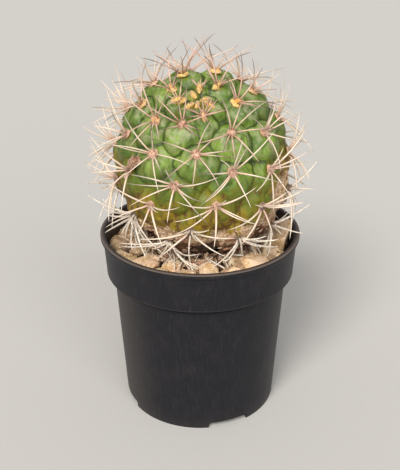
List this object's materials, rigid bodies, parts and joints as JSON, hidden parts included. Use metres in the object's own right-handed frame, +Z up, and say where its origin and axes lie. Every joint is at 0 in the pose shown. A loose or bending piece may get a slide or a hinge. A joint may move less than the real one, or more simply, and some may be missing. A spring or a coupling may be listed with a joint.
{
  "type": "potted round cactus",
  "caption": "Globular cactus with rounded tubercles, woolly areoles and long curved spines, growing in a round black plastic nursery pot with a deep collar, topped with tan gravel.",
  "frame": {"origin": "centre of the pot's footprint, on the surface that the pot stands on", "axes": "+Z up along the pot's axis; -Y is the front, the side that the crown leans to; +X is to the right when the front is seen"},
  "size_m": [0.1235, 0.1236, 0.2119],
  "materials": {
    "pot_plastic": "satin",
    "potting_soil": "matte",
    "cactus_flesh": "satin",
    "spines": "satin",
    "areole_wool": "matte",
    "gravel": "matte"
  },
  "bodies": {
    "root": {"pot": "pot_plastic", "soil": "potting_soil", "cactus": "cactus_flesh", "stone_01": "gravel", "stone_02": "gravel", "stone_03": "gravel", "stone_04": "gravel", "stone_05": "gravel", "stone_06": "gravel", "stone_07": "gravel", "stone_08": "gravel", "stone_09": "gravel", "stone_10": "gravel", "stone_11": "gravel", "stone_12": "gravel", "stone_13": "gravel", "stone_14": "gravel", "stone_15": "gravel", "stone_16": "gravel", "stone_17": "gravel", "stone_18": "gravel", "stone_19": "gravel", "stone_20": "gravel", "stone_21": "gravel", "stone_22": "gravel", "stone_23": "gravel", "stone_24": "gravel", "stone_25": "gravel", "stone_26": "gravel", "stone_27": "gravel", "stone_28": "gravel", "stone_29": "gravel", "stone_30": "gravel", "stone_31": "gravel", "stone_32": "gravel", "stone_33": "gravel", "stone_34": "gravel", "stone_35": "gravel", "stone_36": "gravel", "stone_37": "gravel", "stone_38": "gravel", "stone_39": "gravel", "stone_40": "gravel", "stone_41": "gravel", "stone_42": "gravel", "stone_43": "gravel", "stone_44": "gravel"}
  },
  "joints": []
}
